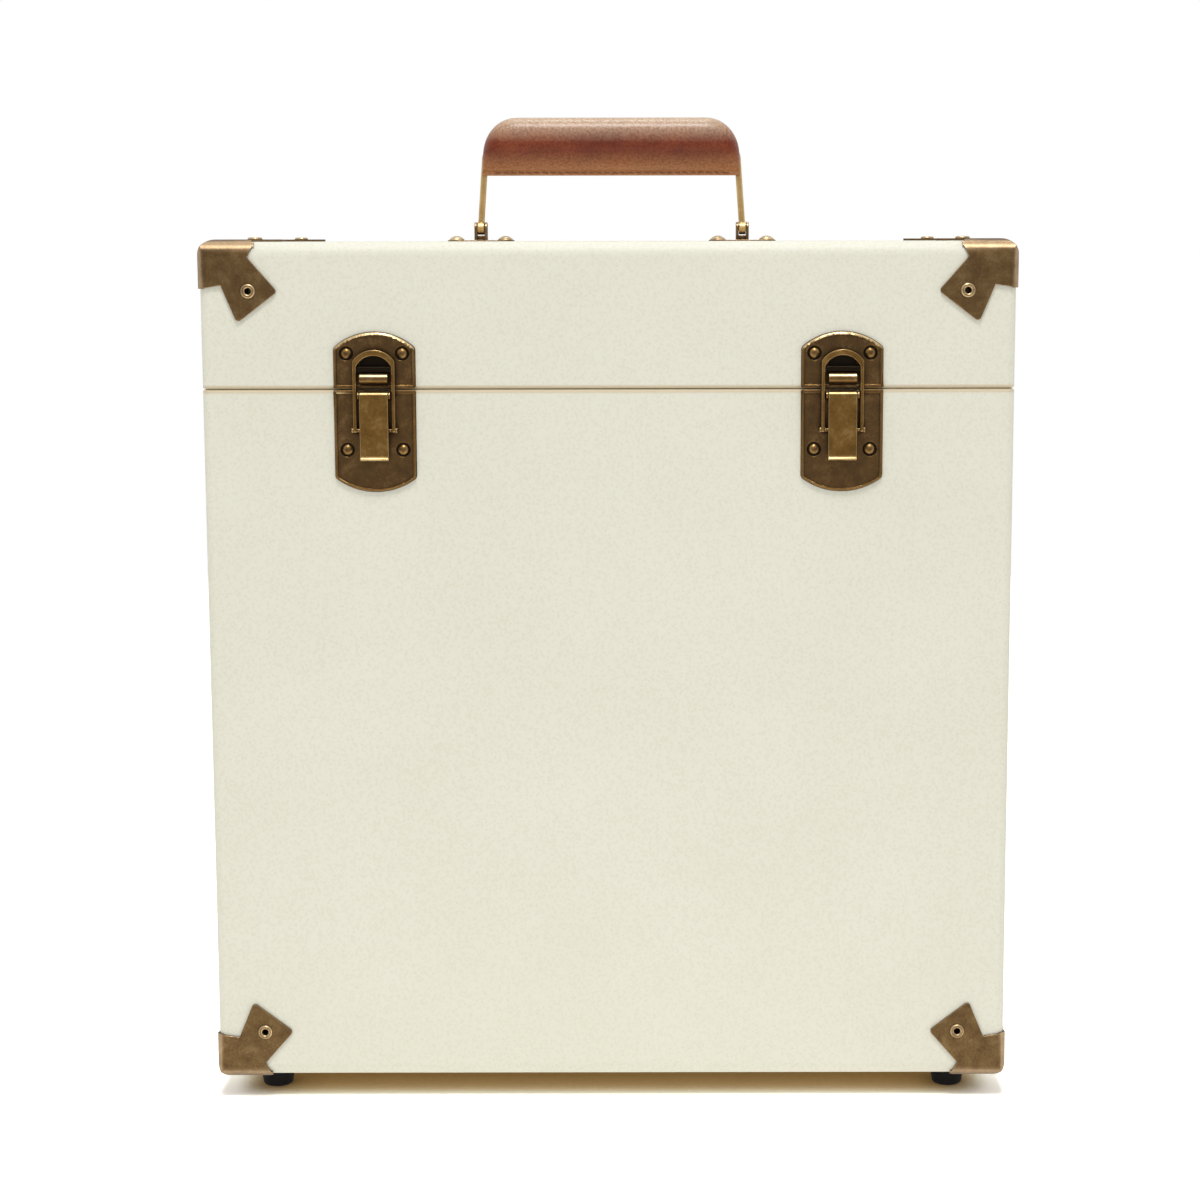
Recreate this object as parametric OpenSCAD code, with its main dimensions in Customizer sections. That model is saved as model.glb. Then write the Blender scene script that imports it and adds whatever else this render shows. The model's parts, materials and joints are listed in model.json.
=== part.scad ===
// Upright carrying case for twelve-inch records. A board base and a board lid are wrapped in
// leatherette, joined by two butt hinges behind and held shut by two draw latches in front.
// Stamped corner pieces guard the eight corners, and a leather grip hangs on a wire bail.
// Millimetres, +Z up, the front looks along -Y. The origin is on the floor under the middle.

/* [Case] */
// Width over the covering
case_w = 350; // [320:1:400]
// Depth over the covering
case_d = 180; // [140:1:260]
// Height of the base, from its underside to the seam
base_h = 307; // [240:1:340]
// Height of the lid, from the seam to its top
lid_h = 63; // [56:1:90]
// Daylight between the two rims when the lid is shut
seam_gap = 0.2; // [0.2:0.1:1]
// Thickness of the board walls
board_t = 9; // [7:0.5:12]
// Thickness of the leatherette covering
cover_t = 1; // [0.6:0.1:1.5]
// How far the covering turns in over the rims
turn_in = 16; // [8:1:30]
// Thickness of the lining
lining_t = 0.8; // [0.5:0.1:1.5]
// Radius of the four upright edges
upright_r = 3.5; // [2:0.5:6]
// Radius of the edges that run from front to back
end_r = 6.5; // [4:0.5:8]
// Radius of the edges that run from side to side
long_r = 6; // [4:0.5:8]
// Radius of the rims at the seam
rim_r = 1.5; // [1.2:0.1:2]

/* [Corner pieces] */
// Thickness of the stamped corner pieces
corner_t = 1; // [0.6:0.1:1.5]
// How far a corner piece reaches along the level edges
corner_run = 24; // [22:0.5:28]
// How far a corner piece reaches along an upright edge
corner_rise = 20; // [19:0.5:24]
// Where a tab's neck leaves the level edge: across and up
neck_low = [20.8, 6.6];
// Outer corner of a tab nearer the level edge
tab_low = [33.5, 21.2];
// Outer corner of a tab nearer the upright edge
tab_high = [16, 34.6];
// Where a tab's neck leaves the upright edge
neck_high = [9.3, 18.5];
// Rounding of a tab's outer corners
tab_r = 1.6; // [0.5:0.1:2.5]
// Distance of a tab's eyelet from the two edges beside it
tab_eye = 21; // [20:0.5:23]
// Outer radius of an eyelet's rolled rim
eyelet_r = 3.2; // [2.8:0.1:4]
// Radius of the hole down an eyelet
eyelet_hole_r = 1.3; // [1:0.1:1.6]
// Wall of an eyelet's barrel
eyelet_wall = 0.5; // [0.3:0.1:0.8]

/* [Rivets] */
// Head radius of the latch, hinge and handle rivets
rivet_r = 2.4; // [2:0.1:3]
// How far a rivet's head stands proud
rivet_h = 1.3; // [1:0.1:1.8]
// Shank radius of the rivets
shank_r = 1.4; // [1:0.1:1.8]
// How deep shanks and barrels go into the boards
grip_depth = 6; // [4:0.5:8]

/* [Latches] */
// Distance of each latch from the middle of the case
latch_x = 100.5; // [60:0.5:120]
// Width of the latch and catch plates
plate_w = 35.4; // [34:0.2:42]
// Thickness of the plates at their raised border
plate_t = 1.6; // [1.4:0.1:2]
// Width of the raised border
border_w = 1.4; // [1:0.1:2]
// Depth of the pressed field inside the border
field_depth = 0.5; // [0.3:0.1:0.8]
// Top of the catch plate above the seam
catch_top = 24.7; // [23:0.1:28]
// Rise of the catch plate's arched end
catch_arch = 6.9; // [4:0.1:7.5]
// Bottom of the latch plate below the seam
latch_low = 44.4; // [40:0.1:50]
// Rise of the latch plate's curved end
latch_arch = 6.1; // [4:0.1:8]
// Rounding of the plates' corners
plate_r = 2.5; // [1:0.1:3]
// Rounding of a plate's corners beside the seam
plate_seam_r = 0.8; // [0.4:0.1:1.5]
// Gap between each plate and the seam's middle
plate_gap = 0.4; // [0.3:0.1:1.5]
// Distance of the plate rivets from the latch's middle
rivet_x = 12; // [11.8:0.1:12.4]
// Height of the catch plate's rivets above the seam
catch_rivet_z = 15.4; // [13.5:0.1:16.5]
// Depth of the latch plate's rivets below the seam
latch_rivet_z = 26; // [22:0.1:32]
// Radius of the dimple that a rivet sits in
dimple_r = 3.1; // [3:0.1:3.4]
// Depth of a rivet's dimple in the pressed field
dimple_depth = 0.4; // [0.2:0.1:0.5]

/* [Latch levers] */
// Width of the lever
lever_w = 12.2; // [11.5:0.1:12.4]
// Thickness of the lever's metal
lever_t = 1.1; // [0.8:0.1:1.2]
// Distance of the lever's pin out from the covering
lever_out = 4.2; // [4:0.1:4.6]
// Depth of the lever's pin below the seam
lever_pin_z = 2.6; // [2.6:0.1:4]
// Radius of the lever's pin
lever_pin_r = 0.9; // [0.7:0.05:1]
// Radius of the lever's rolled knuckle
knuckle_r = 1.7; // [1.5:0.1:1.8]
// Length of the lever from the seam to its lip
lever_len = 30.5; // [27:0.1:34]
// Radius on which the lever's lip turns out
lip_r = 3.5; // [3:0.1:4]
// Thickness of the ears that hold the lever's pin
ear_t = 0.7; // [0.6:0.05:0.8]
// Running gap beside the ears and rails
side_gap = 0.25; // [0.15:0.05:0.3]
// Running gap around pins
pin_gap = 0.05; // [0.03:0.01:0.08]

/* [Latch loops] */
// Half width of the loop over its rails
loop_half = 9; // [8.9:0.1:9.3]
// Width of the loop's rails
rail_t = 1.4; // [1:0.05:1.4]
// Width of the loop's arched top
arch_t = 2.4; // [1.4:0.1:3]
// Depth of the loop's rails from front to back
rail_depth = 2.4; // [2:0.1:2.6]
// Distance of the loop's pin out from the covering
loop_out = 3.2; // [3.1:0.1:3.4]
// Depth of the loop's pin below the seam
loop_pin_z = 17.5; // [15:0.1:19]
// Radius of the loop's pin
loop_pin_r = 0.8; // [0.6:0.05:0.9]
// Top of the loop above the seam
loop_top = 17; // [16:0.1:18]
// Radius of the loop's arched top
loop_arch_r = 10.8; // [10:0.1:13]
// Radius of the crossbar's lower edge, which hooks over the catch
crossbar_r = 0.7; // [0.5:0.05:0.8]
// Height of the crossbar over the middle of its lower edge
crossbar_h = 1.8; // [0.5:0.1:2.2]
// Free play between the crossbar and the catch's curl
hook_play = 0.45; // [0.35:0.05:0.6]

/* [Catches] */
// Outer radius of the catch's rolled curl
curl_r = 2.1; // [1.8:0.1:2.3]
// Thickness of the curl's metal
curl_t = 1; // [0.7:0.05:1.1]
// Half width of the curl
curl_half = 6; // [5:0.1:6.4]
// Distance of the curl's middle out from the covering
curl_out = 3.9; // [3.7:0.1:4.2]
// Height of the curl's middle above the seam
curl_z = 4.8; // [4.4:0.1:5.2]

/* [Hinges] */
// Distance of each hinge from the middle of the case
hinge_x = 100; // [60:1:120]
// Width of the hinges
hinge_w = 36; // [34:0.5:45]
// Height of a hinge leaf from the hinge's axis
leaf_h = 24; // [20:0.5:30]
// Thickness of a hinge leaf
leaf_t = 1.2; // [1:0.1:1.5]
// Outer radius of the hinge barrel
barrel_r = 2.9; // [2.5:0.1:3]
// Distance of the hinge's axis out from the covering
hinge_out = 3.7; // [3.5:0.1:4.2]
// Radius of the hinge pin
hinge_pin_r = 1.3; // [1:0.05:1.5]
// Gap between neighbouring barrel segments
segment_gap = 0.3; // [0.2:0.05:0.5]
// Distance of the hinge rivets from the hinge's middle
hinge_rivet_x = 11; // [10:0.5:13]

/* [Handle] */
// Distance of the handle's pivots from the middle
handle_x = 60.5; // [55:0.5:75]
// Height of the pivots above the lid
pivot_h = 5.9; // [5.6:0.1:7]
// Radius of the bail's wire
wire_r = 1.45; // [1.2:0.05:1.6]
// Lean of the bail's legs towards each other, in degrees
leg_lean = 4; // [2:0.5:6]
// Radius of the bends at the top of the bail
bend_r = 7; // [5:0.5:8]
// Height of the bail's level run above the lid
run_h = 44; // [42:0.5:46]
// Outer radius of the eyes
eye_r = 2.9; // [2.6:0.1:3.1]
// Radius of the pins through the eyes
handle_pin_r = 1.25; // [1:0.05:1.3]
// Thickness of the bracket's lugs
lug_t = 1.2; // [1:0.1:1.5]
// Outer radius of the lugs
lug_r = 2.8; // [2.6:0.1:3.2]
// Half depth of the saddle between the lugs
saddle_half = 2; // [1:0.1:2.4]
// Clearance between the saddle and the eye that turns over it
saddle_gap = 0.4; // [0.3:0.1:0.8]
// Length of a handle bracket
bracket_l = 31; // [30:0.5:36]
// Width of a handle bracket
bracket_w = 11; // [9:0.5:14]
// Thickness of a handle bracket
bracket_t = 1; // [0.8:0.1:1.4]
// How deep a bracket is pressed into the covering
bracket_sink = 0.5; // [0.1:0.1:0.6]
// Distance of the bracket rivets from the pivot
bracket_rivet_x = 11.3; // [10:0.1:11.3]
// Head radius of the bracket rivets
dome_r = 3.7; // [3:0.1:4]
// How far the bracket rivets' heads stand proud
dome_h = 1.9; // [1.4:0.1:2.2]
// Length of the leather grip
grip_l = 119; // [112:1:140]
// Height of the leather grip
grip_h = 26.4; // [24:0.1:30]
// Thickness of the leather grip from front to back
grip_d = 21; // [18:0.5:24]
// Height of the grip's underside above the lid
grip_z = 30; // [27:0.5:33]
// Rounding of the grip's upper ends
grip_end_r = 16; // [10:0.5:18]
// Rounding along the top of the grip
grip_top_r = 10; // [7:0.5:11]
// Rounding along the underside of the grip
grip_low_r = 4; // [2:0.5:6]

/* [Feet] */
// Distance of a foot's middle from the two faces beside it
foot_in = 22.5; // [20.5:0.5:23.5]
// Height of a rubber foot
foot_h = 9.5; // [8:0.5:14]
// Radius of a foot where it meets the case
foot_r = 8; // [7:0.1:9]
// Radius of a foot at the floor
foot_low_r = 6.8; // [6:0.1:7]
// Rounding of a foot's lower edge
foot_edge_r = 1.5; // [0.5:0.1:2]
// Depth of the screw's recess in a foot
recess_h = 4.5; // [3.5:0.1:6]
// Radius of the screw's recess
recess_r = 3.4; // [3.2:0.1:4]
// Head radius of a foot's screw
screw_head_r = 2.9; // [2.5:0.1:3]
// Height of a foot screw's head
screw_head_h = 2; // [1.5:0.1:2.5]
// Radius of a foot screw's shank
screw_r = 1.5; // [1.2:0.1:1.8]

/* [Hidden] */
$fn = 64;

LEATHERETTE = [0.89, 0.88, 0.82];
BOARD = [0.72, 0.58, 0.42];
LINING = [0.2, 0.19, 0.18];
BRASS = [0.45, 0.35, 0.22];
LEATHER = [0.5, 0.29, 0.2];
RUBBER = [0.08, 0.08, 0.08];
STEEL = [0.6, 0.6, 0.6];

// Heights of the case's parts over the floor.
case_z = foot_h + corner_t;
seam_z = case_z + base_h;
lid_top_z = seam_z + lid_h;
// Trays stop short of the seam by half the daylight each.
base_tray_h = base_h - seam_gap / 2;
lid_tray_h = lid_h - seam_gap / 2;
// Insets of the boards' inner faces and of the free interior.
board_in = cover_t + board_t;
turn_in_in = board_in + cover_t;
lining_in = board_in + lining_t;
// Room for a shank's hole over the shank.
hole_gap = 0.05;
// How far cutters run past a face, so that no cut ends flush.
over = 1;
// Width of the fold that the flat faces of a corner piece share.
fold = (1 - cos(45)) * max(end_r, long_r, upright_r) + 0.1;
// Middle of the eyelet's rolled rim.
eyelet_barrel_r = eyelet_hole_r + eyelet_wall;
bead_r = (eyelet_r - eyelet_hole_r) / 2;
// Half width between the latch's ears, and the planes beside it.
ear_in = lever_w / 2 + side_gap;
ear_out = ear_in + ear_t;
loop_in = loop_half - rail_t;
lever_face = lever_out + knuckle_r;
dimple_floor = plate_t - field_depth - dimple_depth;
// The crossbar lies on the curl's back shoulder.
crossbar_rise = sqrt(pow(curl_r + crossbar_r + hook_play, 2) - pow(curl_out - loop_out, 2));
crossbar_z = curl_z + crossbar_rise;
loop_arch_z = loop_top - loop_arch_r;
// The barrel has five segments, three on the base's leaf and two on the lid's.
segments = 5;
segment_w = hinge_w / segments;
leaf_gap = barrel_r + 0.4;
bracket_top = bracket_t - bracket_sink;
// Heights of the handle over the floor.
pivot_z = lid_top_z + pivot_h;
eye_t = 2 * wire_r + 0.1;
leg_start = (handle_pin_r + eye_r) / 2;
bend_swell = 0.03;
bend_lap = 0.5;
lug_in = eye_t / 2 + side_gap;
leg_s = (run_h - pivot_h - bend_r + bend_r * sin(leg_lean)) / cos(leg_lean);
bend_x = handle_x - leg_s * sin(leg_lean) - bend_r * cos(leg_lean);

// ---- Shared shapes ----

// Rectangle on the X axis with one radius for its lower and one for its upper corners.
module soft_rect(w, h, low_r, high_r) {
    translate([-w / 2, low_r])
        square([w, h - low_r - high_r]);
    translate([low_r - w / 2, 0])
        square([w - 2 * low_r, h / 2]);
    translate([high_r - w / 2, h / 2])
        square([w - 2 * high_r, h / 2]);
    for (s = [-1, 1]) {
        translate([s * (w / 2 - low_r), low_r])
            circle(low_r);
        translate([s * (w / 2 - high_r), h - high_r])
            circle(high_r);
    }
}

// Block on the floor whose edges are rounded as seen from the front, the side and above.
// front and side give the radii of the lower and the upper edges.
module soft_block(w, d, h, front, side, plan) {
    intersection() {
        rotate([90, 0, 0])
            linear_extrude(d + 2 * over, center = true)
                soft_rect(w, h, front[0], front[1]);
        rotate([90, 0, 90])
            linear_extrude(w + 2 * over, center = true)
                soft_rect(d, h, side[0], side[1]);
        translate([0, -d / 2, 0])
            linear_extrude(h)
                soft_rect(w, d, plan, plan);
    }
}

// Points the Z axis of its children out of the front, a side or the underside.
module out_front() {
    rotate([90, 0, 0]) children();
}
module out_back() {
    rotate([-90, 0, 0]) children();
}
module out_side() {
    rotate([0, -90, 0]) children();
}
module out_below() {
    rotate([180, 0, 0]) children();
}

// Both hands of a fitting that stands at x to the right and to the left of the middle.
module both(x) {
    for (s = [-1, 1])
        translate([s * x, 0, 0]) children();
}

// Domed rivet with its head above the XY plane and its shank below it.
module rivet(head_r, head_h, depth) {
    cap_r = (head_r * head_r + head_h * head_h) / (2 * head_h);
    rotate_extrude() {
        intersection() {
            translate([0, head_h - cap_r])
                circle(cap_r);
            square([head_r + over, head_h + over]);
        }
        translate([0, -depth])
            square([shank_r, depth + head_h / 4]);
    }
}

// Clearance cut for a shank, from the depth given up past the face.
module shank_hole(r, depth, out) {
    translate([0, 0, -depth])
        cylinder(r = r + hole_gap, h = depth + out);
}

// ---- Trays: the base and the lid are open boxes, described with their closed side down ----

// Outside of a tray, moved in by inset all round and by the same from the rim.
module tray_block(h, inset) {
    translate([0, 0, inset])
        soft_block(
            case_w - 2 * inset, case_d - 2 * inset, h - 2 * inset,
            [end_r - inset, max(rim_r - inset, 0.1)],
            [long_r - inset, max(rim_r - inset, 0.1)],
            upright_r - inset
        );
}

// Straight room inside a tray, inset from the outside and running out past the rim.
module tray_room(h, inset, floor_z) {
    w = case_w - 2 * inset;
    d = case_d - 2 * inset;
    translate([-w / 2, -d / 2, floor_z])
        cube([w, d, h - floor_z + over]);
}

// One board of a tray: side is front, back, left, right or bottom.
module tray_board(h, side) {
    w_in = case_w - 2 * board_in;
    d_in = case_d - 2 * board_in;
    intersection() {
        tray_block(h, cover_t);
        if (side == "front")
            translate([-case_w / 2, -case_d / 2, 0])
                cube([case_w, board_in, h]);
        if (side == "back")
            translate([-case_w / 2, case_d / 2 - board_in, 0])
                cube([case_w, board_in, h]);
        if (side == "left")
            translate([-case_w / 2, -d_in / 2, 0])
                cube([board_in, d_in, h]);
        if (side == "right")
            translate([case_w / 2 - board_in, -d_in / 2, 0])
                cube([board_in, d_in, h]);
        if (side == "bottom")
            translate([-w_in / 2, -d_in / 2, 0])
                cube([w_in, d_in, board_in]);
    }
}

// Leatherette over the outside, over the rim and a little way down inside.
module tray_covering(h) {
    difference() {
        tray_block(h, 0);
        tray_block(h, cover_t);
        tray_room(h, turn_in_in, h / 2);
    }
    difference() {
        translate([0, 0, h - turn_in])
            linear_extrude(turn_in - cover_t)
                square([case_w - 2 * board_in, case_d - 2 * board_in], center = true);
        tray_room(h, turn_in_in, h / 2 - turn_in);
    }
}

// Lining on the floor and the walls, up to the turned-in covering.
module tray_lining(h) {
    difference() {
        translate([0, 0, board_in])
            linear_extrude(h - turn_in - board_in)
                square([case_w - 2 * board_in, case_d - 2 * board_in], center = true);
        tray_room(h, lining_in, lining_in);
    }
}

// Places children at one lower corner of a tray, with +X, +Y and +Z pointing into the case.
module at_corner(right, back) {
    mirror([right, 0, 0])
        mirror([0, back, 0])
            translate([-case_w / 2, -case_d / 2, 0]) children();
}
module at_corners() {
    for (right = [0, 1], back = [0, 1])
        at_corner(right, back) children();
}

// ---- Corner pieces ----

// Quarter plane with its corner rounded.
module round_quad(r, size) {
    translate([r, 0])
        square([size - r, size]);
    translate([0, r])
        square([size, size - r]);
    translate([r, r])
        circle(r);
}

// Rounded corner of the case, grown outwards by grow.
module corner_solid(grow) {
    size = max(tab_low[0], tab_high[1]) + 5 * over;
    translate([-grow, -grow, -grow])
        intersection() {
            translate([0, size, 0])
                rotate([90, 0, 0])
                    linear_extrude(size)
                        round_quad(end_r + grow, size);
            rotate([90, 0, 90])
                linear_extrude(size)
                    round_quad(long_r + grow, size);
            linear_extrude(size)
                round_quad(upright_r + grow, size);
        }
}

// Face of a corner piece: two bands along the edges and a flared tab between them.
module corner_face(run, rise) {
    out = corner_t + over;
    offset(tab_r, $fn = 32)
        offset(delta = -tab_r)
            polygon([
                [-out, -out], [run, -out], [run, 0], neck_low, tab_low, tab_high,
                neck_high, [0, rise], [-out, rise]
            ]);
}

// Slab that carries one face of a corner piece, from outside the case to the fold.
module face_slab(run, rise) {
    translate([0, 0, -fold])
        linear_extrude(fold + corner_t + over)
            corner_face(run, rise);
}

// One stamped corner piece, folded over three faces of the case, with its third hole at inset.
module corner_piece(inset, hole_r) {
    color(BRASS)
        difference() {
            intersection() {
                corner_solid(corner_t);
                union() {
                    out_front()
                        face_slab(corner_run, corner_rise);
                    mirror([1, -1, 0])
                        out_front()
                            face_slab(corner_run, corner_rise);
                    mirror([0, 0, 1])
                        face_slab(corner_run, corner_run);
                }
            }
            corner_solid(0);
            corner_shanks(eyelet_barrel_r);
            flat_shank(inset, hole_r);
        }
}

// Where the eyelets of the front and side tabs go through.
module at_tab_eyes() {
    translate([tab_eye, 0, tab_eye])
        out_front() children();
    translate([0, tab_eye, tab_eye])
        out_side() children();
}
// Where the tab on the closed side of a tray is fixed, by an eyelet or through a foot.
module at_flat_eye(inset) {
    translate([inset, inset, 0])
        out_below() children();
}

module corner_shanks(r) {
    at_tab_eyes()
        shank_hole(r, cover_t + grip_depth, corner_t + over);
}
module flat_shank(inset, r) {
    at_flat_eye(inset)
        shank_hole(r, cover_t + grip_depth, corner_t + over);
}

// Tubular eyelet: a rolled rim on the corner piece and a barrel into the board.
module eyelet() {
    translate([0, 0, corner_t])
        rotate_extrude() {
            intersection() {
                translate([eyelet_hole_r + bead_r, 0])
                    circle(bead_r);
                square([eyelet_r + over, bead_r + over]);
            }
            translate([eyelet_hole_r, -corner_t - cover_t - grip_depth])
                square([eyelet_wall, corner_t + cover_t + grip_depth + bead_r / 4]);
        }
}

// ---- Latches: described with the seam at z = 0 and the covering at y = 0 ----

// Outline of a plate from its foot at z = low to an arched end at z = top.
module arched_plate(low, top, rise) {
    half = plate_w / 2;
    arch_r = (half * half + rise * rise) / (2 * rise);
    offset(plate_seam_r)
        offset(delta = -plate_seam_r)
            intersection() {
                translate([-half, low])
                    square([plate_w, top - low]);
                offset(plate_r)
                    offset(delta = -plate_r)
                        intersection() {
                            translate([-half, low - 2 * plate_r])
                                square([plate_w, top - low + 2 * plate_r]);
                            union() {
                                translate([0, top - arch_r])
                                    circle(arch_r, $fn = 180);
                                translate([-half, low - 2 * plate_r])
                                    square([plate_w, max(top - arch_r - low, 0) + 2 * plate_r]);
                            }
                        }
            }
}

// Pressed plate with a raised border, its outline given as a child.
module pressed_plate(rivet_z) {
    difference() {
        out_front()
            linear_extrude(plate_t)
                children();
        translate([0, field_depth - plate_t, 0])
            out_front()
                linear_extrude(field_depth + over)
                    offset(delta = -border_w)
                        children();
        both(rivet_x)
            translate([0, 0, rivet_z])
                out_front() {
                    translate([0, 0, dimple_floor])
                        cylinder(r = dimple_r, h = plate_t);
                    shank_hole(shank_r, over, plate_t + over);
                }
    }
}

// Cylinder along X through a point out from the covering and above the seam.
module cross_pin(out, z, r, half) {
    translate([-half, -out, z])
        rotate([0, 90, 0])
            cylinder(r = r, h = 2 * half);
}

// Side view drawn as distance out and height, given thickness along X from x.
module side_plate(x, t) {
    translate([x, 0, 0])
        rotate([90, 0, -90])
            mirror([0, 0, 1])
                linear_extrude(t)
                    children();
}

// Base's half of a latch: the plate and two ears that carry the lever's pin.
module latch_plate() {
    color(BRASS)
        difference() {
            union() {
                mirror([0, 0, 1])
                    pressed_plate(latch_rivet_z)
                        arched_plate(plate_gap, latch_low, latch_arch);
                for (x = [-ear_out, ear_in])
                    side_plate(x, ear_t) {
                        translate([plate_t - field_depth - 0.1, -lever_pin_z - knuckle_r])
                            square([lever_out - plate_t + field_depth + 0.1, 2 * knuckle_r]);
                        translate([lever_out, -lever_pin_z])
                            circle(knuckle_r);
                    }
            }
            cross_pin(lever_out, -lever_pin_z, lever_pin_r + 0.02, ear_out + over);
        }
}

module lever_pin() {
    color(BRASS)
        cross_pin(lever_out, -lever_pin_z, lever_pin_r, ear_out);
}

// Sector of a ring between two radii, as wide as the quadrant below and left of its middle.
module lip_sector(r) {
    intersection() {
        difference() {
            circle(r);
            circle(r - lever_t);
        }
        polygon([[0, 0], [-2 * r, 0], [-2 * r, -2 * r]]);
    }
}

// Lever: a rolled knuckle, a flat face, two flanges for the loop's pin and a turned-out lip.
module latch_lever() {
    half = lever_w / 2;
    inner = lever_face - lever_t;
    lip_z = -lever_len + lip_r * sin(45);
    boss_r = loop_out - plate_t - side_gap;
    color(BRASS)
        difference() {
            union() {
                side_plate(-half, lever_w) {
                    translate([lever_out, -lever_pin_z])
                        circle(knuckle_r);
                    translate([inner, lip_z])
                        square([lever_t, -lip_z - lever_pin_z]);
                    translate([inner + lip_r, lip_z])
                        lip_sector(lip_r);
                }
                for (x = [-half, half - lever_t])
                    side_plate(x, lever_t) {
                        polygon([
                            [inner + 0.1, -lever_pin_z - 2 * knuckle_r],
                            [loop_out - boss_r, boss_r - loop_pin_z],
                            [loop_out - boss_r, -boss_r - loop_pin_z],
                            [inner + 0.1, lip_z + 2 * lever_t]
                        ]);
                    }
            }
            cross_pin(lever_out, -lever_pin_z, lever_pin_r + pin_gap, half + over);
            cross_pin(loop_out, -loop_pin_z, loop_pin_r + 0.02, half + over);
        }
}

// Pin through the lever's flanges and the loop's rails, with a small head at each end.
module loop_pin() {
    color(BRASS) {
        cross_pin(loop_out, -loop_pin_z, loop_pin_r, loop_half + side_gap);
        for (s = [-1, 1])
            translate([s * (loop_half + 0.5 * side_gap + 0.3), 0, 0])
                cross_pin(loop_out, -loop_pin_z, loop_pin_r + 0.4, 0.3);
    }
}

// Outline of the loop or of its opening, from its pin up to the arched top.
module loop_outline(half, arch_r, low) {
    intersection() {
        translate([-half, low])
            square([2 * half, loop_top - low]);
        union() {
            translate([0, loop_arch_z])
                circle(arch_r, $fn = 96);
            translate([-half, low])
                square([2 * half, loop_arch_z - low]);
        }
    }
}

// Loop: two rails and an arched top bent from one strip, and the crossbar between the rails.
module latch_loop() {
    end_r = rail_depth / 2;
    color(BRASS)
        difference() {
            union() {
                translate([0, end_r - loop_out, 0])
                    out_front()
                        linear_extrude(rail_depth)
                            difference() {
                                loop_outline(loop_half, loop_arch_r, -loop_pin_z);
                                loop_outline(loop_in, loop_arch_r - arch_t, -loop_pin_z - over);
                            }
                for (x = [-loop_half, loop_in])
                    side_plate(x, rail_t)
                        translate([loop_out, -loop_pin_z])
                            circle(end_r);
                side_plate(-loop_in - rail_t / 2, 2 * loop_in + rail_t)
                    translate([loop_out, crossbar_z]) {
                        circle(crossbar_r);
                        translate([-crossbar_r, 0])
                            square([2 * crossbar_r, crossbar_h]);
                    }
            }
            cross_pin(loop_out, -loop_pin_z, loop_pin_r + pin_gap, loop_half + over);
        }
}

// Lid's half of a latch: the plate, the window its tongue was cut from, and the rolled curl.
module catch_plate() {
    floor_t = 0.4;
    window_low = curl_z + curl_r;
    color(BRASS) {
        difference() {
            pressed_plate(catch_rivet_z)
                arched_plate(plate_gap, catch_top, catch_arch);
            translate([0, -floor_t, 0])
                out_front()
                    linear_extrude(plate_t + over)
                        intersection() {
                            loop_outline(curl_half, loop_arch_r - arch_t, window_low);
                            translate([-plate_w / 2, window_low])
                                square([plate_w, loop_top - arch_t - window_low]);
                        }
        }
        side_plate(-curl_half, 2 * curl_half)
            translate([0, curl_z]) {
                translate([floor_t, -curl_r])
                    square([curl_out - floor_t, curl_t]);
                translate([curl_out, 0])
                    difference() {
                        circle(curl_r);
                        circle(curl_r - curl_t);
                        translate([-2 * curl_r, curl_t - curl_r])
                            square([2 * curl_r, curl_r - curl_t]);
                    }
            }
    }
}

// ---- Hinges: described with the axis along X at the origin and the leaf hanging below it ----

// One leaf with its share of the barrel's segments, counted from first in steps of two.
module hinge_leaf(first) {
    color(BRASS)
        difference() {
            union() {
                translate([-hinge_w / 2, -hinge_out, -leaf_h])
                    cube([hinge_w, leaf_t, leaf_h - leaf_gap]);
                for (i = [first : 2 : segments - 1])
                    translate([i * segment_w - hinge_w / 2 + segment_gap / 2, 0, 0]) {
                        translate([0, -hinge_out, -leaf_gap - 0.1])
                            cube([segment_w - segment_gap, leaf_t, leaf_gap + 0.1]);
                        translate([0, -hinge_out, -barrel_r + 0.2])
                            cube([segment_w - segment_gap, hinge_out, barrel_r - 0.2]);
                        rotate([0, 90, 0])
                            cylinder(r = barrel_r, h = segment_w - segment_gap);
                    }
            }
            cross_pin(0, 0, hinge_pin_r + pin_gap, hinge_w / 2 + over);
            both(hinge_rivet_x)
                translate([0, -hinge_out, -(leaf_h + leaf_gap) / 2])
                    out_back()
                        shank_hole(shank_r, over, leaf_t + over);
        }
}

// ---- Placing: each fitting set against the case ----

// side is 1 on the right and -1 on the left.
module at_latch(side) {
    translate([side * latch_x, -case_d / 2, seam_z]) children();
}
module at_hinge(side) {
    translate([side * hinge_x, case_d / 2 + hinge_out, seam_z]) children();
}
module in_base() {
    translate([0, 0, case_z]) children();
}
module in_lid() {
    translate([0, 0, lid_top_z])
        mirror([0, 0, 1]) children();
}

// Rivet places of the latches, drawn z above the seam.
module at_latch_rivets(z) {
    for (side = [-1, 1])
        at_latch(side)
            both(rivet_x)
                translate([0, 0, z])
                    out_front() children();
}
// Rivet places of the hinges, above the axis for the lid and below it for the base.
module at_hinge_rivets(up) {
    for (side = [-1, 1])
        translate([side * hinge_x, case_d / 2, seam_z + up * (leaf_h + leaf_gap) / 2])
            both(hinge_rivet_x)
                out_back() children();
}
// Rivet places of the handle's brackets.
module at_bracket_rivets() {
    for (side = [-1, 1])
        translate([side * handle_x, 0, lid_top_z])
            both(bracket_rivet_x) children();
}

// Every shank that enters the base's covering and boards.
module base_holes() {
    deep = cover_t + grip_depth;
    at_latch_rivets(-latch_rivet_z)
        shank_hole(shank_r, deep, over);
    at_hinge_rivets(-1)
        shank_hole(shank_r, deep, over);
    in_base()
        at_corners() {
            corner_shanks(eyelet_barrel_r);
            flat_shank(foot_in, screw_r);
        }
}
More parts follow.
